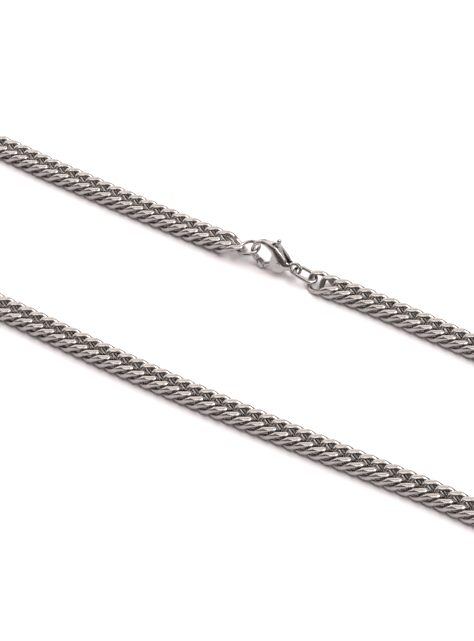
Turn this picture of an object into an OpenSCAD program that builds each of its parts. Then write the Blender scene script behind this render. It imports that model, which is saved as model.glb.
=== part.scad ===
// Double curb chain necklace with a lobster clasp, lying flat as a whole loop.
// +X runs along the two strands, +Z is up and the links rest on Z = 0.
// The clasp stands on its edge in the middle of the back strand.

/* [Loop] */
// Length of the loop as it lies, between the middles of the chain at its two turns
loop_span = 223.7; // [190:1:300]
// Width of the loop as it lies, twice the way from its middle line to the front strand
loop_width = 49.9; // [40:1:80]

/* [Chain] */
// Distance from one link to the next; the whole weave follows it
link_pitch = 3.2; // [2.4:0.1:4.2]
// Thickness of the chain between its ground flats
chain_t = 3.5; // [2.5:0.1:4.2]

/* [Rings] */
// Wire diameter of both rings
ring_wire = 0.85; // [0.5:0.05:1.1]
// Outer diameter of the round catch ring
catch_ring_d = 6.1; // [4.8:0.1:8]
// Outer length of the oval tail ring
tail_ring_l = 6.5; // [5.2:0.1:9]
// Outer width of the oval tail ring
tail_ring_w = 4; // [3.6:0.1:6]

/* [Clasp] */
// Distance from the middle of the hook to the middle of the tail eye
clasp_reach = 9.3; // [8.2:0.1:12]
// Outer radius of the hook
hook_r = 3.2; // [3:0.05:3.6]
// Thickness of the hook's arm, measured in the plane of the clasp
arm_t = 1.05; // [0.9:0.05:1.15]
// Thickness of the clasp across its two cheeks
clasp_t = 3.5; // [2.8:0.1:4.5]
// Thickness of the hook at its nose
nose_t = 1.6; // [1.2:0.1:2]
// Radius of the round belly, opposite the thumb knob
belly_r = 2.25; // [2:0.05:2.5]
// Radius of the shoulder, where the arm leaves the body
shoulder_r = 2.1; // [1.7:0.1:2.4]
// Outer radius of the tail eye
eye_r = 1.65; // [1.55:0.05:2.2]
// Radius of the hole in the tail eye
eye_hole_r = 1; // [0.9:0.05:1.1]
// Thickness of the tail eye
eye_t = 1.3; // [1.1:0.1:1.5]
// How far the clasp's faces are rounded back at their edges
edge_round = 0.45; // [0.2:0.05:0.6]

/* [Lever] */
// Thickness of the lever
lever_t = 1; // [0.7:0.05:1.3]
// Play on each side of the lever in its slot
lever_play = 0.3; // [0.1:0.05:0.4]
// Width of the gate that closes the hook
gate_w = 1.8; // [1.4:0.1:2.2]
// Radius of the lever's hub, round its pin
hub_r = 1.6; // [1.2:0.05:1.8]
// Thickness of the gate, measured in the plane of the clasp
gate_t = 1.1; // [0.8:0.05:1.2]
// Diameter of the thumb knob
knob_d = 1.15; // [0.8:0.05:1.4]
// How far the knob's middle stands above the shoulder
knob_rise = 1.3; // [0.9:0.1:1.8]
// Diameter of the pin that the lever turns on
pin_d = 1; // [0.7:0.05:1.3]

/* [Hidden] */

// The loop as it was laid down, clockwise from the clasp, seen from above: shares of half its span and width
laid = [
    [0, 0.9198], [0.1073, 0.9078], [0.2235, 0.9259], [0.3934, 0.9038], [0.5901, 0.8717],
    [0.7823, 0.8557], [0.9414, 0.5932], [1, -0.0401], [0.9414, -0.6733], [0.7823, -0.9379],
    [0.5901, -0.9499], [0.3934, -0.9739], [0.1967, -0.994], [0, -1], [-0.1967, -0.982],
    [-0.3934, -0.9439], [-0.5901, -0.9198], [-0.7778, -0.9138], [-0.9379, -0.6333], [-1, 0.0381],
    [-0.9379, 0.7054], [-0.7778, 0.982], [-0.5901, 0.9659], [-0.3934, 0.9399], [-0.2235, 0.9279],
    [-0.1073, 0.9178]
];
route = [for (p = laid) [p[0] * loop_span / 2, p[1] * loop_width / 2]];
route_steps = 12;

// Proportions at which the double curb weave closes, as shares of the pitch
wire_share = 0.48;
half_length_share = 1.281;
half_width_share = 0.765;
// Turn of the link's ends out of the flat, and how the turn builds up along it
end_twist = 72.2;
twist_power = 0.92;
// Squareness of the link's outline
squareness = 4.03;
// Places round the link where its wire is bent, and the sides of the wire
bend_angles = [24.2, 56.9, 90, 123.1, 155.8, 204.2, 236.9, 270, 303.1, 335.8];
wire_sides = 5;

link_wire = link_pitch * wire_share;
link_half_l = link_pitch * half_length_share;
link_half_w = link_pitch * half_width_share;
// Slack where a ring pulls on a link, on the hook and on the tail eye
slack = 0.2;
catch_slack = 0.3;
tail_slack = 0.4;
// Running clearance round the pin, how far its ends lie below the cheeks, and the gap at the gate's tip
pin_fit = 0.05;
pin_sink = 0.1;
gate_gap = 0.15;

// Pose of the clasp: its place beside the route's start, its lean back from upright
// and its droop towards the tail
clasp_aside = [0.1, 0.1];
clasp_lean = 17;
clasp_droop = 7;
// The catch ring rises to the hook, and lifts the chain's end off the floor over this run
catch_tilt = 15;
lift_run = 20;
// How far above the chain's middle the tail ring holds its link
tail_rise = 0.05;

// Places in the clasp's own plane: x towards the tail, y towards the knob
hook_at = [-0.453 * clasp_reach, 0];
eye_at = [clasp_reach + hook_at[0], 0];
hole_at = hook_at - [0.24 * arm_t, 0];
hole_r = hook_r - arm_t;
shoulder_at = [-0.5 * hook_r, 1.08 * hook_r - shoulder_r];
belly_at = [0.265 * hook_r, -0.094 * hook_r];
pin_at = [0.31 * hook_r, -0.11 * hook_r];
knob_at = shoulder_at + [0.39 * knob_d, shoulder_r + knob_rise];
slot_w = lever_t + 2 * lever_play;
slot_r = eye_at[0] - eye_r - pin_at[0];
thumb_at = shoulder_at + shoulder_r * [0.26, 0.36];
thumb_r = 0.55 * shoulder_r;
neck_at = [eye_at[0] - eye_r, 0];
neck_r = 0.62 * eye_r;

// The hook's lower round, which the nose and the gate follow
low_at = hook_at - hook_r * [0, 0.19];
low_r = 0.875 * hook_r;

// The bay between the arm and the cheeks ends flush with the left side of the belly
bay_r = arm_t;
bay_at = [belly_at[0] - belly_r - bay_r, 0.235 * hook_r];

// The gate's straight line, from beyond its tip to its elbow
gate_lean = 248;
gate_along = [-sin(gate_lean), cos(gate_lean)];
gate_mid = low_at + (low_r - gate_t / 2) * [cos(gate_lean), sin(gate_lean)];
gate_far = gate_mid - 0.62 * hook_r * gate_along;
elbow_at = gate_mid + 0.56 * hook_r * gate_along;

// The pull of each ring's wire on the clasp, clear of the rims that its curve nears
catch_r = (catch_ring_d - ring_wire) / 2;
tail_half_l = (tail_ring_l - ring_wire) / 2;
tail_half_w = (tail_ring_w - ring_wire) / 2;
catch_pull_angle = 188;
catch_pull_r = hole_r - ring_wire / 2 - catch_slack - bow(catch_r, nose_t / 2);
catch_hold = hole_at + catch_pull_r * [cos(catch_pull_angle), sin(catch_pull_angle)];
tail_hold = eye_at + [eye_hole_r - ring_wire / 2 - tail_slack - bow(tail_half_w, eye_t / 2), 0];

// The tip of the gate passes the catch ring as it swings in
gate_reach = norm(catch_hold - pin_at) - ring_wire / 2 - slack;

// How far a round of radius r falls away at a distance h from its crown
function bow(r, h) = r - sqrt(pow(r, 2) - pow(h, 2));

// A point of the clasp's plane, turned into the frame of the loop
function posed(p) = let (
    x = p[0] * cos(clasp_droop) + p[1] * sin(clasp_droop),
    y = p[1] * cos(clasp_droop) - p[0] * sin(clasp_droop)
) [x, y * sin(clasp_lean), y * cos(clasp_lean)];

// How high the clasp is lifted so that its lowest round stands on Z = 0
clasp_feet = [
    [low_at, low_r, nose_t / 2],
    [belly_at, belly_r, clasp_t / 2 - edge_round],
    [elbow_at, gate_t / 2, gate_w / 2]
];
clasp_z = max([for (foot = clasp_feet)
    foot[1] * cos(clasp_lean) + foot[2] * sin(clasp_lean) - posed(foot[0])[2]]);
clasp_at = [route[0][0] + clasp_aside[0], route[0][1] + clasp_aside[1], clasp_z];

// Ring centres, from where each ring pulls on the clasp
catch_end = clasp_at + posed(catch_hold);
tail_end = clasp_at + posed(tail_hold);
tail_tilt = asin((tail_end[2] - chain_t / 2 - tail_rise) / (2 * tail_half_l));
catch_at = catch_end - catch_r * [cos(catch_tilt), 0, sin(catch_tilt)];
tail_at = tail_end + tail_half_l * [cos(tail_tilt), 0, -sin(tail_tilt)];

// The chain's first and last links hold the far sides of the rings
hold = (ring_wire + link_wire) / 2 + slack;
left_link_x = catch_at[0] - catch_r * cos(catch_tilt) + hold - link_half_l;
right_link_x = tail_at[0] + tail_half_l * cos(tail_tilt) - hold + link_half_l;

// A point of the closed curve through the route's points, u counting the points
function around(i) = route[(i + len(route)) % len(route)];
function route_point(u) = let (
    i = floor(u), f = u - i, a = around(i - 1), b = around(i), c = around(i + 1), d = around(i + 2)
) (2 * b + (c - a) * f + (2 * a - 5 * b + 4 * c - d) * pow(f, 2) + (3 * b - a - 3 * c + d) * pow(f, 3)) / 2;

// Table of distance along the curve against u
route_n = len(route) * route_steps;
route_pts = [for (k = [0:route_n]) route_point(k / route_steps)];
route_table = [for (k = 0, s = 0; k <= route_n;
    s = s + (k < route_n ? norm(route_pts[k + 1] - route_pts[k]) : 0), k = k + 1) [s, k / route_steps]];
loop_l = route_table[route_n][0];

function on_route(s) = route_point(lookup(s, route_table));
function side_of_route(s) = let (t = on_route(s + 0.5) - on_route(s - 0.5)) [-t[1], t[0]] / norm(t);

// Equal steps between the two end links
chain_l = loop_l - right_link_x + left_link_x;
link_gaps = round(chain_l / link_pitch);
pitch = chain_l / link_gaps;
half_links = floor(link_gaps / 2);

// Middle of a link's wire: a squarish oval whose ends are twisted out of the flat
function wire_middle(t) = let (
    c = cos(t), s = sin(t),
    r = pow(pow(abs(c), squareness) + pow(abs(s), squareness), -1 / squareness),
    x = link_half_l * c * r,
    w = link_half_w * s * r,
    twist = end_twist * sign(x) * pow(abs(x) / link_half_l, twist_power)
) [x, w * cos(twist), -w * sin(twist)];

function unit(v) = v / norm(v);
bends = len(bend_angles);
wire_pts = [for (t = bend_angles) wire_middle(t)];

// A ring of the wire's skin, cut back to the flats that are ground on the chain
function wire_ring(i) = let (
    p = wire_pts[i],
    along = unit(wire_pts[(i + 1) % bends] - wire_pts[(i + bends - 1) % bends]),
    out = unit(p - along * (p * along)),
    side = cross(along, out)
) [for (j = [0:wire_sides - 1]) let (
    q = p - link_wire / 2 * (cos(j * 360 / wire_sides) * out + sin(j * 360 / wire_sides) * side)
) [q[0], q[1], max(-chain_t / 2, min(chain_t / 2, q[2]))]];
link_skin = [for (i = [0:bends - 1]) each wire_ring(i)];
skin_n = bends * wire_sides;

// How high the catch ring lifts the chain at distance s from the clasp
catch_lift = catch_end[2] - 2 * catch_r * sin(catch_tilt) - chain_t / 2;
lift_from = loop_l + left_link_x + link_half_l - lift_run;
function lift(s) = catch_lift * pow(max(0, s - lift_from) / lift_run, 2);

// The link laid on the route, with its middle at distance s from the clasp
function laid_link(s) = [for (q = link_skin) let (
    m = on_route(s + q[0]) + side_of_route(s + q[0]) * q[1]
) [m[0], m[1], q[2] + chain_t / 2 + lift(s + q[0])]];

function link_faces(first) = [for (i = [0:bends - 1], j = [0:wire_sides - 1]) let (
    a = first + i * wire_sides + j,
    b = first + i * wire_sides + (j + 1) % wire_sides,
    c = first + ((i + 1) % bends) * wire_sides + (j + 1) % wire_sides,
    d = first + ((i + 1) % bends) * wire_sides + j
) each [[a, c, b], [a, d, c]]];

// A run of interlocked links, counted from the right end of the chain
module links(from, to) {
    polyhedron(
        points = [for (k = [from:to]) each laid_link(right_link_x + k * pitch)],
        faces = [for (k = [0:to - from]) each link_faces(k * skin_n)],
        convexity = 10
    );
}

module chain_right() {
    color([0.72, 0.7, 0.68]) links(0, half_links);
}

module chain_left() {
    color([0.72, 0.7, 0.68]) links(half_links + 1, link_gaps);
}

// A round ring that rises towards the clasp
module catch_ring() {
    color([0.78, 0.77, 0.76])
        translate(catch_at)
            rotate([0, -catch_tilt, 0])
                rotate_extrude($fn = 64)
                    translate([catch_r, 0])
                        circle(d = ring_wire, $fn = 24);
}

// An oval ring: two half rounds joined by two straight wires
module tail_ring() {
    straight = 2 * (tail_half_l - tail_half_w);
    color([0.78, 0.77, 0.76])
        translate(tail_at)
            rotate([0, tail_tilt, 0]) {
                for (end = [0, 180])
                    rotate([0, 0, end])
                        translate([straight / 2, 0])
                            rotate([0, 0, -90])
                                rotate_extrude(angle = 180, $fn = 64)
                                    translate([tail_half_w, 0])
                                        circle(d = ring_wire, $fn = 24);
                for (side = [-1, 1])
                    translate([-straight / 2, side * tail_half_w, 0])
                        rotate([0, 90, 0])
                            cylinder(h = straight, d = ring_wire, $fn = 24);
            }
}

// Puts a drawing of the clasp's plane into its pose on the floor
module clasp_pose() {
    translate(clasp_at)
        rotate([90 - clasp_lean, 0, 0])
            rotate([0, 0, -clasp_droop])
                children();
}

// A plate of the clasp, centred on its middle plane
module plate(t) {
    translate([0, 0, -t / 2])
        linear_extrude(t)
            children();
}

module round_at(at, r) {
    translate(at)
        circle(r, $fn = 64);
}

module clasp_outline() {
    hull() {
        round_at(hook_at, hook_r);
        round_at(low_at, low_r);
        round_at(shoulder_at, shoulder_r);
        round_at(belly_at, belly_r);
    }
    hull() {
        round_at(belly_at, neck_r);
        round_at(neck_at, neck_r);
    }
    round_at(eye_at, eye_r);
}

// Plan of the clasp's thickness: slim at the nose, full at the cheeks, slim at the eye
module clasp_plan() {
    half = [
        [hook_at[0] - 1.3 * hook_r, 0.5 * nose_t],
        [hook_at[0], 0.625 * nose_t],
        [shoulder_at[0] + 0.29 * shoulder_r, 0.5 * clasp_t],
        [belly_at[0] + 0.85 * belly_r, 0.5 * clasp_t],
        [eye_at[0] - 0.6 * eye_r, 0.5 * eye_t],
        [eye_at[0] + 2 * eye_r, 0.5 * eye_t]
    ];
    polygon(concat(half, [for (k = [len(half) - 1:-1:0]) [half[k][0], -half[k][1]]]));
}

// The inside of the hook, with the bay that reaches up to the cheeks
module bay() {
    hull() {
        round_at(hole_at, hole_r);
        round_at(low_at, low_r - arm_t);
        round_at(bay_at, bay_r);
    }
}

// The mouth between the nose and the belly, which the gate closes
module mouth() {
    far = 3 * hook_r;
    side = belly_at[0] - belly_r;
    difference() {
        intersection() {
            round_at(pin_at, gate_reach + gate_gap);
            polygon([[-far, low_at[1]], [hook_at[0], low_at[1]], bay_at, [side, bay_at[1]],
                [side, belly_at[1]], belly_at, [belly_at[0], -far], [-far, -far]]);
        }
        round_at(belly_at, belly_r);
    }
}

// The slot runs through from the mouth to the back, and stops in a round at the tail
module slot_outline() {
    far = 3 * hook_r;
    front = bay_at[0];
    round_at(pin_at, slot_r);
    polygon([[front, -far], [pin_at[0], -far], [pin_at[0], far], [knob_at[0] - knob_d, far],
        [front, bay_at[1]]]);
    polygon([pin_at, pin_at + [slot_r, 0], pin_at + [slot_r, far], pin_at + [0, far]]);
}

module clasp_body() {
    color([0.74, 0.73, 0.73])
        clasp_pose()
            difference() {
                intersection() {
                    union() {
                        plate(clasp_t - 2 * edge_round) clasp_outline();
                        plate(clasp_t) offset(delta = -edge_round) clasp_outline();
                    }
                    translate([0, 2 * hook_r, 0])
                        rotate([90, 0, 0])
                            linear_extrude(4 * hook_r)
                                clasp_plan();
                }
                plate(2 * clasp_t) bay();
                plate(2 * clasp_t) mouth();
                plate(2 * clasp_t) round_at(eye_at, eye_hole_r);
                plate(slot_w) slot_outline();
                plate(2 * clasp_t) round_at(pin_at, pin_d / 2 + pin_fit);
            }
}

// The lever: a hub, a gate that closes the mouth and a thumb arm with its knob
module clasp_lever() {
    color([0.7, 0.69, 0.69])
        clasp_pose() {
            plate(lever_t)
                difference() {
                    union() {
                        hull() {
                            round_at(pin_at, hub_r);
                            round_at(elbow_at, gate_t / 2);
                        }
                        hull() {
                            round_at(pin_at, hub_r);
                            round_at(thumb_at, thumb_r);
                        }
                        hull() {
                            round_at(thumb_at, thumb_r / 2);
                            round_at(knob_at - [0, knob_d / 2], 0.4 * knob_d);
                        }
                    }
                    round_at(pin_at, pin_d / 2 + pin_fit);
                }
            plate(gate_w)
                intersection() {
                    hull() {
                        round_at(gate_far, gate_t / 2);
                        round_at(elbow_at, gate_t / 2);
                    }
                    round_at(pin_at, gate_reach);
                }
            translate([knob_at[0], knob_at[1], 0])
                sphere(d = knob_d, $fn = 32);
        }
}

module clasp_pin() {
    color([0.66, 0.65, 0.65])
        clasp_pose()
            translate([pin_at[0], pin_at[1], pin_sink - clasp_t / 2])
                cylinder(h = clasp_t - 2 * pin_sink, d = pin_d, $fn = 48);
}

chain_left();
chain_right();
catch_ring();
tail_ring();
clasp_body();
clasp_lever();
clasp_pin();
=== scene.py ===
import math

import bpy
import numpy as np
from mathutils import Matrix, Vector


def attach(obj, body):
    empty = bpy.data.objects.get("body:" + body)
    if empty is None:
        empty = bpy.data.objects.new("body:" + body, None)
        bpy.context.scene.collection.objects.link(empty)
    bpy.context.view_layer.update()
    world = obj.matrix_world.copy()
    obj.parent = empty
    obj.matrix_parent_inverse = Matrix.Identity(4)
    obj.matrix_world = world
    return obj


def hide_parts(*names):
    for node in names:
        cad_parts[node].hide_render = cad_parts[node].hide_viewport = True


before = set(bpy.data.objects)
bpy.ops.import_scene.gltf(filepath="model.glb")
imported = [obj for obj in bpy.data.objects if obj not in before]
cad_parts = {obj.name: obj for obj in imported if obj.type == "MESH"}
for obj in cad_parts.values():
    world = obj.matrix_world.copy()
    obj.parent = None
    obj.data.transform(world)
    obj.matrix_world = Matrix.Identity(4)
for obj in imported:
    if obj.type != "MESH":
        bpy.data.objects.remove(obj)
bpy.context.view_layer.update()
mm = 0.001  # every length below is in millimetres until its mesh is written
print("frame loaded", len(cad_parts), "nodes")

# Route of the loop, clockwise from the clasp, as shares of half its span and width
routeSet = {"halfSpan": 111.85, "halfWide": 24.95, "steps": 12, "sideStep": 0.5}
laid = np.array([
    (0, 0.9198), (0.1073, 0.9078), (0.2235, 0.9259), (0.3934, 0.9038), (0.5901, 0.8717),
    (0.7823, 0.8557), (0.9414, 0.5932), (1, -0.0401), (0.9414, -0.6733), (0.7823, -0.9379),
    (0.5901, -0.9499), (0.3934, -0.9739), (0.1967, -0.994), (0, -1), (-0.1967, -0.982),
    (-0.3934, -0.9439), (-0.5901, -0.9198), (-0.7778, -0.9138), (-0.9379, -0.6333), (-1, 0.0381),
    (-0.9379, 0.7054), (-0.7778, 0.982), (-0.5901, 0.9659), (-0.3934, 0.9399), (-0.2235, 0.9279),
    (-0.1073, 0.9178),
])
route = laid * (routeSet["halfSpan"], routeSet["halfWide"])


def routePoint(u):
    # Catmull-Rom: half of 2b + (c-a)f + (2a-5b+4c-d)f^2 + (3b-a-3c+d)f^3
    i = np.floor(u).astype(int)
    f = (u - i)[..., None]
    a, b, c, d = (route[(i + k) % len(route)] for k in (-1, 0, 1, 2))
    return (2 * b + (c - a) * f + (2 * a - 5 * b + 4 * c - d) * f**2 + (3 * b - a - 3 * c + d) * f**3) / 2


# The route's length up to each of many short steps turns a distance into a place on it
tableU = np.arange(len(route) * routeSet["steps"] + 1) / routeSet["steps"]
tableStep = np.linalg.norm(np.diff(routePoint(tableU), axis=0), axis=1)
tableS = np.concatenate([[0], np.cumsum(tableStep)])
loopLength = tableS[-1]


def onRoute(s):
    # the point at distance s along the loop, counted round again past its end
    return routePoint(np.interp(s % loopLength, tableS, tableU))


def sideOfRoute(s):
    # the unit way to the route's left: its direction turned by a quarter
    along = onRoute(s + routeSet["sideStep"]) - onRoute(s - routeSet["sideStep"])
    left = np.stack([-along[..., 1], along[..., 0]], -1)
    return left / np.linalg.norm(left, axis=-1, keepdims=True)


def meshPiece(name, points, faces, sharpAngle=None):
    # points in millimetres, faces as lists of point numbers, edges over the angle in degrees kept sharp
    mesh = bpy.data.meshes.new(name)
    mesh.from_pydata((np.asarray(points) * mm).tolist(), [], faces)
    mesh.update()
    mesh.polygons.foreach_set("use_smooth", np.ones(len(mesh.polygons), bool))
    if sharpAngle is not None:
        mesh.set_sharp_from_angle(angle=math.radians(sharpAngle))
    piece = bpy.data.objects.new(name, mesh)
    bpy.context.scene.collection.objects.link(piece)
    return piece


def pointValues(piece, name, values):
    # one number for each point, for the piece's material to read
    layer = piece.data.attributes.new(name, "FLOAT", "POINT")
    layer.data.foreach_set("value", np.asarray(values, np.float32).ravel())


def gridFaces(rows, cols):
    # quads of a grid that closes on itself both ways
    i, j = np.meshgrid(np.arange(rows), np.arange(cols), indexing="ij")
    a, b = i * cols + j, i * cols + (j + 1) % cols
    c, d = ((i + 1) % rows) * cols + (j + 1) % cols, ((i + 1) % rows) * cols + j
    return np.stack([a, b, c, d], -1).reshape(-1, 4)


def tubeFaces(rows, cols):
    # quads of a grid that closes round its columns only, and one flat face over each end
    quads = gridFaces(rows, cols)[:(rows - 1) * cols, ::-1]
    lastEnd = list(range((rows - 1) * cols, rows * cols))
    return quads.tolist() + [list(range(cols)), lastEnd[::-1]]


def smoothStep(x):
    # 3x^2 - 2x^3, held between 0 and 1
    x = np.clip(x, 0, 1)
    return x * x * (3 - 2 * x)


# One link: a squarish oval of wire whose ends are twisted out of the flat, ground flat above and below.
# Its half length, half width and wire are shares of the pitch, its twist and its cuts are in radians
linkSet = {
    "pitch": 3.2, "thick": 3.55, "wire": 0.43, "halfLength": 1.235, "halfWidth": 0.7725,
    "endTwist": 0.947, "squareness": 3.824, "twistPower": 0.768,
    "sections": 56, "arcPoints": 6, "tablePoints": 2401, "tangentStep": 0.004, "sharpAngle": 48,
    "edgeRound": 0.2, "leastCut": 0.28, "deepestCos": -0.93, "edgeFade": 0.2, "groundFade": 0.1,
    "firstAt": 13.4128, "lastAt": -13.4089, "lift": 0.9778, "liftRun": 20, "cadHalfLength": 1.281,
    "seed": 7,
}
pitch = linkSet["pitch"]
wireR = linkSet["wire"] * pitch / 2


def linkMiddle(t):
    # x and w walk a squarish oval, and w turns about x by a twist that grows as a power of x
    a, b = linkSet["halfLength"] * pitch, linkSet["halfWidth"] * pitch
    c, s, power = np.cos(t), np.sin(t), linkSet["squareness"]
    r = (np.abs(c) ** power + np.abs(s) ** power) ** (-1 / power)
    x, w = a * c * r, b * s * r
    twist = linkSet["endTwist"] * np.sign(x) * (np.abs(x) / a) ** linkSet["twistPower"]
    return np.stack([x, w * np.cos(twist), -w * np.sin(twist)], -1)


def linkSkin():
    # round sections at even steps along the wire, each cut by the two ground flats
    fineT = np.linspace(0, 2 * np.pi, linkSet["tablePoints"])
    fine = linkMiddle(fineT)
    run = np.concatenate([[0], np.cumsum(np.linalg.norm(np.diff(fine, axis=0), axis=1))])
    t = np.interp(np.linspace(0, run[-1], linkSet["sections"], endpoint=False), run, fineT)
    middle = linkMiddle(t)
    along = linkMiddle(t + linkSet["tangentStep"]) - linkMiddle(t - linkSet["tangentStep"])
    along /= np.linalg.norm(along, axis=1, keepdims=True)
    up = np.array([0, 0, 1]) - along * along[:, 2:]
    rise = np.linalg.norm(up, axis=1)
    up /= rise[:, None]
    side = np.cross(along, up)
    least, bevel, n = linkSet["leastCut"], linkSet["edgeRound"], linkSet["arcPoints"]
    bevelTurn = bevel / wireR
    columns, ground = [], []

    def halfCut(sign):
        # its cosine is the flat's height above the section's middle over the wire's radius
        height = (linkSet["thick"] / 2 - sign * middle[:, 2]) / (rise * wireR)
        return np.arccos(np.clip(height, linkSet["deepestCos"], math.cos(least)))

    def flatPair(cut, sign):
        # the flat's two sides, drawn in by the round of its edges where the cut is deep enough
        chord = wireR * np.sin(cut) - bevel * np.clip((cut - least) / linkSet["edgeFade"], 0, 1)
        for v in (-sign * chord, sign * chord):
            columns.append(np.stack([sign * wireR * np.cos(cut), v], -1))
            ground.append(np.clip((cut - least) / linkSet["groundFade"], 0, 1))

    def arc(start, end):
        # the round wire from one flat's edge to the other's
        for k in range(n):
            angle = start + bevelTurn + (end - start - 2 * bevelTurn) * k / (n - 1)
            columns.append(wireR * np.stack([np.cos(angle), np.sin(angle)], -1))
            ground.append(np.zeros(len(start)))

    top, low = halfCut(1), halfCut(-1)
    flatPair(top, 1)
    arc(top, np.pi - low)
    flatPair(low, -1)
    arc(np.pi + low, 2 * np.pi - top)
    uv = np.stack(columns, 1)
    skin = middle[:, None] + uv[..., :1] * up[:, None] + uv[..., 1:] * side[:, None]
    return skin, np.stack(ground, 1)


skin, groundShare = linkSkin()
rows, cols = skin.shape[:2]
chainRun = loopLength - linkSet["firstAt"] + linkSet["lastAt"]
linkGaps = round(chainRun / pitch)
linkAt = linkSet["firstAt"] + chainRun / linkGaps * np.arange(linkGaps + 1)
liftFrom = loopLength + linkSet["lastAt"] + linkSet["cadHalfLength"] * pitch - linkSet["liftRun"]
print("link skin", rows, cols, "links", len(linkAt))


def laidLinks(s):
    # skin x goes along the route, y to its left and z up, and the last stretch rises as a parabola
    q = skin.reshape(-1, 3)
    place = s[:, None] + q[None, :, 0]
    flat = onRoute(place) + sideOfRoute(place) * q[None, :, 1:2]
    lift = linkSet["lift"] * (np.maximum(0, place - liftFrom) / linkSet["liftRun"]) ** 2
    z = q[None, :, 2] + linkSet["thick"] / 2 + lift
    return np.concatenate([flat, z[..., None]], -1)


def chainPiece(name, s, seed):
    # a link at each distance s, with a random tone for each and the ground share of each point
    first = np.arange(len(s)) * rows * cols
    faces = (gridFaces(rows, cols)[None] + first[:, None, None]).reshape(-1, 4)
    piece = meshPiece(name, laidLinks(s).reshape(-1, 3), faces.tolist(), linkSet["sharpAngle"])
    rng = np.random.default_rng(seed)
    pointValues(piece, "linkTone", np.repeat(rng.random(len(s)), rows * cols))
    pointValues(piece, "ground", np.tile(groundShare.ravel(), len(s)))
    return piece


halfLinks = linkGaps // 2
chainRight = chainPiece("chainRightLinks", linkAt[:halfLinks + 1], linkSet["seed"])
chainLeft = chainPiece("chainLeftLinks", linkAt[halfLinks + 1:], linkSet["seed"] + 1)
print("chain halves", len(chainRight.data.polygons), len(chainLeft.data.polygons))

# Jump rings: wire bent round and cut, with a hairline joint where the ends meet.
# Tilts are in degrees, and each joint's place is a share of the way round
ringSet = {
    "wire": 0.92, "joint": 0.05, "chamfer": 0.9, "sections": 120, "sides": 20, "sharpAngle": 40,
    "catchR": 2.625, "catchAt": (-8.1671, 23.2025, 3.4072), "catchTilt": 15.0, "catchJoint": 0.32,
    "tailL": 2.825, "tailW": 1.575, "tailAt": (7.9451, 22.8675, 2.3955), "tailTilt": -12.169,
    "tailJoint": 0.2,
}


def ringPiece(name, halfL, halfW, at, tilt, jointAt):
    # an oval of two half rounds and two straights, walked by length from the joint: a round turns
    # about the middle of its end, and a straight slides that middle to the other end
    straight = 2 * (halfL - halfW)
    around = 2 * np.pi * halfW + 2 * straight
    walk = np.linspace(0, around - ringSet["joint"], ringSet["sections"])
    s = (jointAt * around + ringSet["joint"] / 2 + walk) % around
    quarter = np.pi * halfW / 2
    ends = np.cumsum([0, quarter, straight, 2 * quarter, straight, quarter])
    turned = np.interp(s, ends, np.pi * np.array([0, 0.5, 0.5, 1.5, 1.5, 2]))
    slid = np.interp(s, ends, straight / 2 * np.array([1, 1, -1, -1, 1, 1]))
    middle = np.stack([slid + halfW * np.cos(turned), halfW * np.sin(turned), np.zeros_like(s)], -1)
    along = np.gradient(middle, axis=0)
    along /= np.linalg.norm(along, axis=1, keepdims=True)
    up = np.array([0, 0, 1])
    out = np.cross(along, up)
    n = ringSet["sides"]
    angle = (2 * np.pi * np.arange(n) / n)[None, :, None]
    radius = np.full(len(s), ringSet["wire"] / 2)
    radius[[0, -1]] *= ringSet["chamfer"]  # the ends are sheared square, with a fine chamfer
    tube = middle[:, None] + radius[:, None, None] * (np.cos(angle) * out[:, None] + np.sin(angle) * up)
    c, w = math.cos(math.radians(tilt)), math.sin(math.radians(tilt))
    tilted = tube.reshape(-1, 3) @ np.array([[c, 0, -w], [0, 1, 0], [w, 0, c]]).T
    return meshPiece(name, tilted + np.array(at), tubeFaces(len(s), n), ringSet["sharpAngle"])


catchRing = ringPiece("catchRingWire", ringSet["catchR"], ringSet["catchR"],
                      ringSet["catchAt"], ringSet["catchTilt"], ringSet["catchJoint"])
tailRing = ringPiece("tailRingWire", ringSet["tailL"], ringSet["tailW"],
                     ringSet["tailAt"], ringSet["tailTilt"], ringSet["tailJoint"])
print("rings made")

# Clasp, in its own plane: x towards the tail, y towards the knob. voxel and passes say how finely its
# solids are remeshed and how often they are smoothed, and the rest are the CAD solids' own measures.
# From hookX on they are shares: of the reach, of the hook's or the named circle's radius, or of a thickness
claspSet = {
    "at": (0.1, 23.05, 3.588), "lean": 17, "droop": 7, "voxel": 0.065, "passes": 9,
    "reach": 9.3, "hookR": 3.2, "shoulderR": 2.1, "bellyR": 2.25, "eyeR": 1.65, "eyeHole": 1.0,
    "armT": 1.05, "claspT": 3.5, "noseT": 1.6, "eyeT": 1.3, "cheekStep": 0.45,
    "hookX": -0.453, "lowY": -0.19, "lowR": 0.875, "shoulderX": -0.5, "shoulderTop": 1.08,
    "belly": (0.265, -0.094), "pin": (0.31, -0.11), "neck": 0.62, "baySlide": 0.24, "bayY": 0.235,
    "noseRun": 1.3, "noseGrow": 0.625, "cheekFrom": 0.29, "cheekTo": 0.85, "eyeFrom": 0.6,
}
hookR = claspSet["hookR"]
hookAt = np.array([claspSet["hookX"] * claspSet["reach"], 0])
eyeAt = hookAt + [claspSet["reach"], 0]
lowAt = hookAt + [0, claspSet["lowY"] * hookR]
shoulderAt = np.array([claspSet["shoulderX"], claspSet["shoulderTop"]]) * hookR - [0, claspSet["shoulderR"]]
bellyAt = np.array(claspSet["belly"]) * hookR
pinAt = np.array(claspSet["pin"]) * hookR


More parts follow.
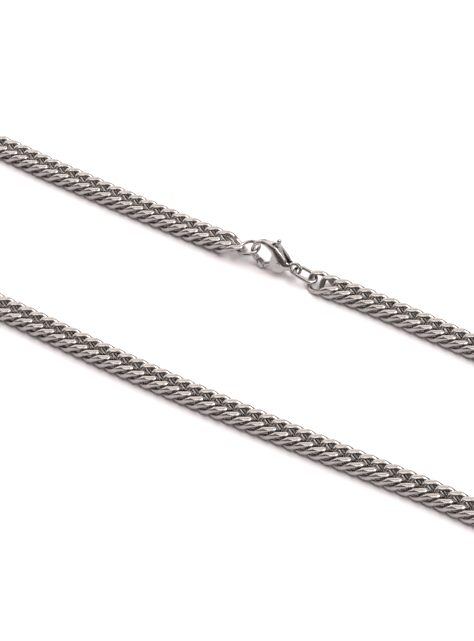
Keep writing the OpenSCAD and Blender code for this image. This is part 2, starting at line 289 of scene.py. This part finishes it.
def roundRemesh(points, faces, passes):
    # voxel remesh in millimetres, then an even smoothing
    block = bpy.data.meshes.new("block")
    block.from_pydata(points.tolist(), [], faces)
    block.update()
    holder = bpy.data.objects.new("holder", block)
    bpy.context.scene.collection.objects.link(holder)
    fine = holder.modifiers.new("fine", "REMESH")
    fine.mode = "VOXEL"
    fine.voxel_size = claspSet["voxel"]
    soft = holder.modifiers.new("soft", "SMOOTH")
    soft.iterations = passes
    made = bpy.data.meshes.new_from_object(holder.evaluated_get(bpy.context.evaluated_depsgraph_get()))
    out = np.empty(len(made.vertices) * 3)
    made.vertices.foreach_get("co", out)
    polygons = [list(f.vertices) for f in made.polygons]
    bpy.data.objects.remove(holder)
    return out.reshape(-1, 3), polygons


def claspFrame():
    # the clasp's own axes as rows: towards the tail, towards the knob, and across its cheeks
    lean, droop = math.radians(claspSet["lean"]), math.radians(claspSet["droop"])

    def posed(x, y):
        # turned by the droop in its plane, which then leans back from upright
        u, v = x * math.cos(droop) + y * math.sin(droop), y * math.cos(droop) - x * math.sin(droop)
        return np.array([u, v * math.sin(lean), v * math.cos(lean)])

    ex, ey = posed(1, 0), posed(0, 1)
    return np.array([ex, ey, np.cross(ex, ey)])


claspAxes, claspAt = claspFrame(), np.array(claspSet["at"])


def placed(own):
    # from the clasp's own axes to the necklace's
    return own @ claspAxes + claspAt


def nodeMesh(node):
    # the CAD solid's points in the clasp's own axes, and its faces
    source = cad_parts[node].data
    places = np.empty(len(source.vertices) * 3)
    source.vertices.foreach_get("co", places)
    own = (places.reshape(-1, 3) / mm - claspAt) @ claspAxes.T
    return own, [list(f.vertices) for f in source.polygons]


# Crown of the clasp's body: how wide and deep its faces round over towards their edges, and where that
# changes. hullTurn is in degrees, and from farShare on the values are shares
crownSet = {
    "topWide": 2.3, "topDeep": 0.85, "low": 0.45, "arm": 0.75, "inner": 0.3,
    "sideFrom": -0.4, "sideRun": 1.2, "leastHalf": 0.12, "faceReach": 0.08, "hullTurn": 3,
    "farShare": 0.1, "armEnd": 0.25, "bodyFrom": 0.75, "bodyWide": 0.7,
    "deepest": 0.57, "steepest": 0.7, "innerDeepest": 0.4,
}


def hullDistance(p, circles):
    # distance outside the convex hull of circles, negative inside: the most over its outward ways
    angle = np.radians(np.arange(0, 360, crownSet["hullTurn"]))
    normal = np.stack([np.cos(angle), np.sin(angle)], -1)
    reach = np.max([normal @ np.array(c) + r for c, r in circles], axis=0)
    return (p @ normal.T - reach).max(axis=1)


def roundDrop(depth, wide, deep):
    # how far a quarter oval, wide along the face and deep across it, lies below the face near its edge
    inner = np.clip(1 - depth / wide, 0, 1)
    return deep * (1 - np.sqrt(1 - inner**2))


def edgeDepths(p):
    # distances in from the clasp's outline, and away from its bay and its eye's hole
    c = claspSet
    lowR, neckR = c["lowR"] * hookR, c["neck"] * c["eyeR"]
    body = [(hookAt, hookR), (lowAt, lowR), (shoulderAt, c["shoulderR"]), (bellyAt, c["bellyR"])]
    neck = [(bellyAt, neckR), (eyeAt - [c["eyeR"], 0], neckR)]
    eye = [(eyeAt, c["eyeR"])]
    bay = [(hookAt - [c["baySlide"] * c["armT"], 0], hookR - c["armT"]), (lowAt, lowR - c["armT"]),
           ((bellyAt[0] - c["bellyR"] - c["armT"], c["bayY"] * hookR), c["armT"])]
    outer = -np.minimum.reduce([hullDistance(p, part) for part in (body, neck, eye)])
    inner = np.minimum(hullDistance(p, bay), np.linalg.norm(p - eyeAt, axis=1) - c["eyeHole"])
    return outer, inner


def halfThickness(x):
    # it grows from the nose, is even over the cheeks and thins to the tail eye
    c = claspSet
    stations = [
        (hookAt[0] - c["noseRun"] * hookR, c["noseT"] / 2),
        (hookAt[0], c["noseGrow"] * c["noseT"]),
        (shoulderAt[0] + c["cheekFrom"] * c["shoulderR"], c["claspT"] / 2),
        (bellyAt[0] + c["cheekTo"] * c["bellyR"], c["claspT"] / 2),
        (eyeAt[0] - c["eyeFrom"] * c["eyeR"], c["eyeT"] / 2),
    ]
    return np.interp(x, *np.transpose(stations))


def crowned(own):
    # a point on a face goes to the half thickness less the drops of its outer and its inner edge
    c = crownSet
    p, w = own[:, :2], own[:, 2]
    outer, inner = edgeDepths(p)
    half = halfThickness(p[:, 0])
    # the crown is broad towards the thumb on the camera's cheek, and slim below, on the hook's arm
    # and on the far cheek, which keeps more of its rim
    share = smoothStep((p[:, 1] - c["sideFrom"]) / c["sideRun"]) * np.where(w > 0, 1, c["farShare"])
    along = [hookAt[0] + c["armEnd"] * hookR, bellyAt[0] - c["bodyFrom"] * claspSet["bellyR"], bellyAt[0]]
    broad = np.interp(p[:, 0], along, [c["arm"], c["bodyWide"] * c["topWide"], c["topWide"]])
    wide = c["low"] + (broad - c["low"]) * share
    deep = c["low"] + (c["topDeep"] - c["low"]) * share
    deep = np.minimum(deep, np.minimum(c["deepest"] * half, c["steepest"] * wide))
    small = np.minimum(c["inner"], c["innerDeepest"] * half)
    face = half - roundDrop(np.maximum(outer, 0), wide, deep) - roundDrop(np.maximum(inner, 0), small, small)
    face = np.maximum(face, c["leastHalf"])
    depth = np.abs(w)
    cheek = np.minimum(claspSet["claspT"] / 2 - claspSet["cheekStep"], half)
    onFace = (depth > cheek - c["faceReach"]) | (depth > face)
    return np.column_stack([p, np.where(onFace, np.sign(w) * face, w)])


# Lever: a full ball for its knob, and an arm that stays a slim round bar until the cheeks hide it.
# Places that start and fade the arm's slimming are shares of the way from its elbow to the pin
leverSet = {
    "knobD": 1.15, "knobX": 0.39, "knobRise": 1.3, "knobFull": 1.06, "knobNear": 1.3, "knobNeck": 0.75,
    "elbow": (-3.39, -3.37), "armHalf": 0.55, "hubR": 1.6, "slimBy": 0.8, "armRound": 0.6,
    "slimFrom": 0.12, "slimIn": 0.12, "slimTo": 0.62, "slimOut": 0.2, "slimReach": 1.15,
    "thumbWide": 0.35, "thumbFrom": 0.6, "thumbIn": 0.8, "thumbTo": 3.55, "thumbOut": 0.4,
}


def roundKnob(own):
    # points near the knob's middle are pushed out along their own ray to its full ball
    c = leverSet
    knob = np.array([*(shoulderAt + [c["knobX"] * c["knobD"], claspSet["shoulderR"] + c["knobRise"]]), 0])
    ray = own - knob
    run = np.linalg.norm(ray, axis=1)
    ball = c["knobD"] / 2 * c["knobFull"]
    near = (run < c["knobNear"] * ball) & (ray[:, 1] > -c["knobNeck"] * run)
    own[near] = knob + ray[near] * (ball / run[near])[:, None]
    return own


def slimArm(own):
    # the width about the arm's middle line shrinks from the cast wedge's towards the bar's, and the
    # thickness falls to its sides as a circle's, both by an ease that is full between gate and hub
    c = leverSet
    elbow = np.array(c["elbow"])
    run = np.linalg.norm(pinAt - elbow)
    along = (pinAt - elbow) / run
    across = np.array([-along[1], along[0]])
    share = (own[:, :2] - elbow) @ along / run
    off = (own[:, :2] - elbow) @ across
    cast = c["armHalf"] + (c["hubR"] - c["armHalf"]) * np.clip(share, 0, 1)
    starts = np.clip((share - c["slimFrom"]) / c["slimIn"], 0, 1)
    fades = np.clip((c["slimTo"] - share) / c["slimOut"], 0, 1)
    ease = c["slimBy"] * smoothStep(starts * fades) * (np.abs(off) < c["slimReach"] * cast)
    slim = cast + (c["armHalf"] - cast) * ease
    own[:, 2] *= np.sqrt(1 - c["armRound"] * np.clip(off / cast, -1, 1) ** 2 * ease)
    own[:, :2] += (off * (slim / cast - 1))[:, None] * across
    # the thumb arm is broader than the gate's arm, up to the knob's neck
    starts = np.clip((own[:, 1] - c["thumbFrom"]) / c["thumbIn"], 0, 1)
    fades = np.clip((c["thumbTo"] - own[:, 1]) / c["thumbOut"], 0, 1)
    own[:, 2] *= 1 + c["thumbWide"] * starts * fades
    return own


# Pin: a short rod across both cheeks, a hair proud of them and thicker than its hole, whose rim its
# rounded ends cover as a peened pin's do
pinSet = {
    "r": 0.72, "proud": 0.004, "edge": 0.06, "corner": 0.3, "faceStart": 0.35,
    "sides": 40, "sharpAngle": 40,
}


def pinPiece():
    # a profile from one end to the other, carried round the pin's axis
    r, edge, n = pinSet["r"], pinSet["edge"], pinSet["sides"]
    half, corner = claspSet["claspT"] / 2 + pinSet["proud"], pinSet["corner"] * pinSet["edge"]
    end = np.array([
        (pinSet["faceStart"] * r, half), (r - edge, half), (r - corner, half - corner), (r, half - edge),
    ])
    profile = np.concatenate([end, end[::-1] * [1, -1]])
    angle = 2 * np.pi * np.arange(n) / n
    out, across = profile[:, :1], np.repeat(profile[:, 1:], n, 1)
    own = np.stack([out * np.cos(angle), out * np.sin(angle), across], -1)
    own[..., :2] += pinAt
    faces = tubeFaces(len(profile), n)
    return meshPiece("claspPinEnds", placed(own.reshape(-1, 3)), faces, pinSet["sharpAngle"])


# The body is remeshed before its crown, too, because the solid's faces have no points inside
own, faces = roundRemesh(*nodeMesh("clasp_body"), 0)
own, faces = roundRemesh(crowned(own), faces, claspSet["passes"])
claspBody = meshPiece("claspCasting", placed(own), faces)
own, faces = roundRemesh(*nodeMesh("clasp_lever"), claspSet["passes"])
claspLever = meshPiece("leverCasting", placed(slimArm(roundKnob(own))), faces)
claspPin = pinPiece()
print("castings", len(claspBody.data.polygons), len(claspLever.data.polygons))


class Wave:
    # a shader value: arithmetic on it adds Math nodes
    def __init__(self, tree, socket=None):
        self.tree, self.socket = tree, socket

    def node(self, kind, output, settings, inputs):
        # any other node: its settings are set first, then the values or links of its sockets
        made = self.tree.nodes.new(kind)
        for key, value in settings.items():
            setattr(made, key, value)
        for key, value in inputs.items():
            if isinstance(value, Wave):
                self.tree.links.new(value.socket, made.inputs[key])
            else:
                made.inputs[key].default_value = value
        return Wave(self.tree, made.outputs[output])

    def maths(self, operation, first, second):
        return self.node("ShaderNodeMath", 0, {"operation": operation}, {0: first, 1: second})

    def __add__(self, other):
        return self.maths("ADD", self, other)

    def __mul__(self, other):
        return self.maths("MULTIPLY", self, other)

    def __sub__(self, other):
        return self.maths("SUBTRACT", self, other)

    def __rsub__(self, other):
        return self.maths("SUBTRACT", other, self)

    __radd__ = __add__
    __rmul__ = __mul__


# Steels: dark and light are the ends of the tone, broad its patches to the millimetre, grain the same
# for the scratches along x, y and z. roughSpread, scratchRough and groundRough are what patches,
# scratches and ground flats do to the roughness, scratch and wave their heights in the bump
steelSet = {
    "patchDetail": 3.0, "scratchDetail": 4.0, "noiseMiddle": 0.5, "linkShare": 0.4,
    "bump": 0.4, "bumpDistance": 0.001,
}
looks = {
    "chainSteel": {
        "dark": (0.368, 0.35, 0.339), "light": (0.456, 0.438, 0.427), "rough": 0.215,
        "roughSpread": 0.06, "scratchRough": 0.05, "groundRough": 0.03,
        "broad": 0.9, "grain": (2.0, 14.0, 9.0), "scratch": 0.006, "wave": 0.02,
    },
    "ringSteel": {
        "dark": (0.33, 0.318, 0.31), "light": (0.42, 0.407, 0.4), "rough": 0.1,
        "roughSpread": 0.05, "scratchRough": 0.05,
        "broad": 1.1, "grain": (3.0, 12.0, 12.0), "scratch": 0.006, "wave": 0.02,
    },
    "claspSteel": {
        "dark": (0.378, 0.362, 0.358), "light": (0.466, 0.449, 0.445), "rough": 0.17,
        "roughSpread": 0.08, "scratchRough": 0.06,
        "broad": 0.7, "grain": (5.0, 9.0, 16.0), "scratch": 0.008, "wave": 0.03,
    },
    "leverSteel": {
        "dark": (0.353, 0.346, 0.346), "light": (0.442, 0.434, 0.434), "rough": 0.15,
        "roughSpread": 0.07, "scratchRough": 0.06,
        "broad": 0.8, "grain": (6.0, 10.0, 14.0), "scratch": 0.008, "wave": 0.03,
    },
    "pinSteel": {
        "dark": (0.331, 0.324, 0.324), "light": (0.427, 0.42, 0.42), "rough": 0.2,
        "roughSpread": 0.06, "scratchRough": 0.06,
        "broad": 1.2, "grain": (9.0, 9.0, 9.0), "scratch": 0.01, "wave": 0.02,
    },
}


def steel(name, look):
    # polished steel: broad tone, fine scratches and a soft unevenness of the polish
    material = bpy.data.materials.new(name)
    material.use_nodes = True
    tree = material.node_tree
    start = Wave(tree)
    where = start.node("ShaderNodeTexCoord", "Object", {}, {})
    inMm = start.node("ShaderNodeVectorMath", "Vector", {"operation": "SCALE"}, {0: where, "Scale": 1 / mm})
    lines = start.node("ShaderNodeVectorMath", "Vector", {"operation": "MULTIPLY"}, {
        0: inMm, 1: look["grain"]})
    patch = start.node("ShaderNodeTexNoise", "Fac", {}, {
        "Vector": inMm, "Scale": look["broad"], "Detail": steelSet["patchDetail"]})
    scratch = start.node("ShaderNodeTexNoise", "Fac", {}, {
        "Vector": lines, "Scale": 1.0, "Detail": steelSet["scratchDetail"]})
    tone = patch
    rough = look["rough"] + (patch - steelSet["noiseMiddle"]) * look["roughSpread"]
    rough = rough + (scratch - steelSet["noiseMiddle"]) * look["scratchRough"]
    if "groundRough" in look:  # only the chain has a tone for each link and ground flats
        linkTone = start.node("ShaderNodeAttribute", "Fac", {"attribute_name": "linkTone"}, {})
        ground = start.node("ShaderNodeAttribute", "Fac", {"attribute_name": "ground"}, {})
        tone = patch * (1 - steelSet["linkShare"]) + linkTone * steelSet["linkShare"]
        rough = rough + ground * look["groundRough"]
    # a Mix node's colours are its sockets 6 and 7, and their mix is output 2
    colour = start.node("ShaderNodeMix", 2, {"data_type": "RGBA"}, {
        0: tone, 6: (*look["dark"], 1), 7: (*look["light"], 1)})
    height = scratch * look["scratch"] + patch * look["wave"]
    bump = start.node("ShaderNodeBump", "Normal", {}, {
        "Height": height, "Distance": steelSet["bumpDistance"], "Strength": steelSet["bump"]})
    shader = tree.nodes["Principled BSDF"]
    shader.inputs["Metallic"].default_value = 1.0
    for socket, value in (("Base Color", colour), ("Roughness", rough), ("Normal", bump)):
        tree.links.new(value.socket, shader.inputs[socket])
    return material


for piece, look, slot, node, body in (
    (chainLeft, "chainSteel", "chain_steel", "chain_left", "necklace"),
    (chainRight, "chainSteel", "chain_steel", "chain_right", "necklace"),
    (catchRing, "ringSteel", "ring_steel", "catch_ring", "necklace"),
    (tailRing, "ringSteel", "ring_steel", "tail_ring", "necklace"),
    (claspBody, "claspSteel", "clasp_steel", "clasp_body", "necklace"),
    (claspLever, "leverSteel", "lever_steel", "clasp_lever", "lever"),
    (claspPin, "pinSteel", "pin_steel", "clasp_pin", "necklace"),
):
    piece.data.materials.append(bpy.data.materials.get(look) or steel(look, looks[look]))
    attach(piece, body)
    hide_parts(node)
print("materials and bodies set")

# White table and a dim warm room
tableSet = {"half": 1500, "tone": (0.95, 0.92, 0.94), "rough": 0.7, "room": (0.14, 0.115, 0.105)}
corners = [(x * tableSet["half"], y * tableSet["half"], 0) for x, y in ((-1, -1), (1, -1), (1, 1), (-1, 1))]
table = meshPiece("whiteTable", corners, [(0, 1, 2, 3)])
white = bpy.data.materials.new("whiteTable")
white.use_nodes = True
whiteShader = white.node_tree.nodes["Principled BSDF"]
whiteShader.inputs["Base Color"].default_value = (*tableSet["tone"], 1)
whiteShader.inputs["Roughness"].default_value = tableSet["rough"]
table.data.materials.append(white)

world = bpy.data.worlds.new("studio")
bpy.context.scene.world = world
world.use_nodes = True
world.node_tree.nodes["Background"].inputs["Color"].default_value = (*tableSet["room"], 1)

# Camera, from the photograph: degrees above the table and round it, distance, scale and aim
shot = {
    "elevation": 45.0, "azimuth": 30.4, "distance": 634.0, "target": (0.28, 2.98, 0),
    "pixelsPerMm": 4.17, "pixelsTall": 641, "sensor": 36, "clipMetres": (0.01, 20),
}
e, a = math.radians(shot["elevation"]), math.radians(shot["azimuth"])
view = Vector((-math.sin(a) * math.cos(e), math.cos(a) * math.cos(e), -math.sin(e)))
lens = bpy.data.cameras.new("photoCamera")
lens.sensor_width = shot["sensor"]
lens.lens = shot["sensor"] * shot["pixelsPerMm"] * shot["distance"] / shot["pixelsTall"]
lens.clip_start, lens.clip_end = shot["clipMetres"]
camera = bpy.data.objects.new("photoCamera", lens)
camera.location = (Vector(shot["target"]) - view * shot["distance"]) * mm
camera.rotation_mode = "QUATERNION"
camera.rotation_quaternion = view.to_track_quat("-Z", "Y")
bpy.context.scene.collection.objects.link(camera)
bpy.context.scene.camera = camera
bpy.context.scene.view_settings.view_transform = "Standard"

# A tent of soft cards: bright high on the right, bright behind, open and dark in front.
# Each card: degrees round from the camera's right hand, degrees up, degrees wide and tall, brightness
cardSet = {"metresAway": 2.0, "power": 1.32}
cards = {
    "key": (0, 57, 55, 26, (4.6, 4.75, 4.8)),
    "keyFront": (315, 54, 36, 22, (2.6, 2.6, 2.65)),
    "keyBack": (45, 54, 36, 22, (2.1, 2.1, 2.05)),
    "backCard": (105, 22.5, 60, 16, (1.98, 1.82, 1.71)),
    "backRise": (100, 45, 70, 28, (0.96, 0.925, 0.875)),
    "backLeft": (150, 22.5, 30, 16, (1.7, 1.6, 1.55)),
    "backRightLow": (60, 8, 34, 13, (1.15, 0.88, 0.82)),
    "rightLow": (18, 7, 50, 12, (0.75, 0.66, 0.62)),
    "backLow": (118, 7, 80, 12, (0.7, 0.64, 0.62)),
    "left": (158, 38, 46, 14, (1.1, 1.06, 1.06)),
    "leftLow": (180, 8, 60, 14, (0.4, 0.3, 0.33)),
    "front": (278, 34, 34, 14, (0.46, 0.4, 0.39)),
    "leftHigh": (150, 66, 80, 18, (0.75, 0.72, 0.75)),
    "overhead": (0, 90, 36, 36, (1.6, 1.5, 1.42)),
}


def cardSpan(degrees):
    # the length that fills this angle at the cards' distance: twice the distance times the half's tangent
    return 2 * cardSet["metresAway"] * math.tan(math.radians(degrees / 2))


for name, (turn, up, wide, tall, bright) in cards.items():
    around, rise = math.radians(shot["azimuth"] + turn), math.radians(up)
    light = bpy.data.lights.new(name, "AREA")
    light.shape = "RECTANGLE"
    # degrees round are shorter higher up, and the overhead card is measured across instead
    light.size = cardSpan(wide) * (1 if up == 90 else math.cos(rise))
    light.size_y = cardSpan(tall)
    # a card's power is its brightness times its area times pi
    light.energy = cardSet["power"] * math.pi * light.size * light.size_y
    light.color = bright
    way = Vector((math.cos(around) * math.cos(rise), math.sin(around) * math.cos(rise), math.sin(rise)))
    card = bpy.data.objects.new(name, light)
    card.location = way * cardSet["metresAway"]
    card.rotation_mode = "QUATERNION"
    card.rotation_quaternion = (-way).to_track_quat("-Z", "Y")
    bpy.context.scene.collection.objects.link(card)
print("stage, lights and camera set")
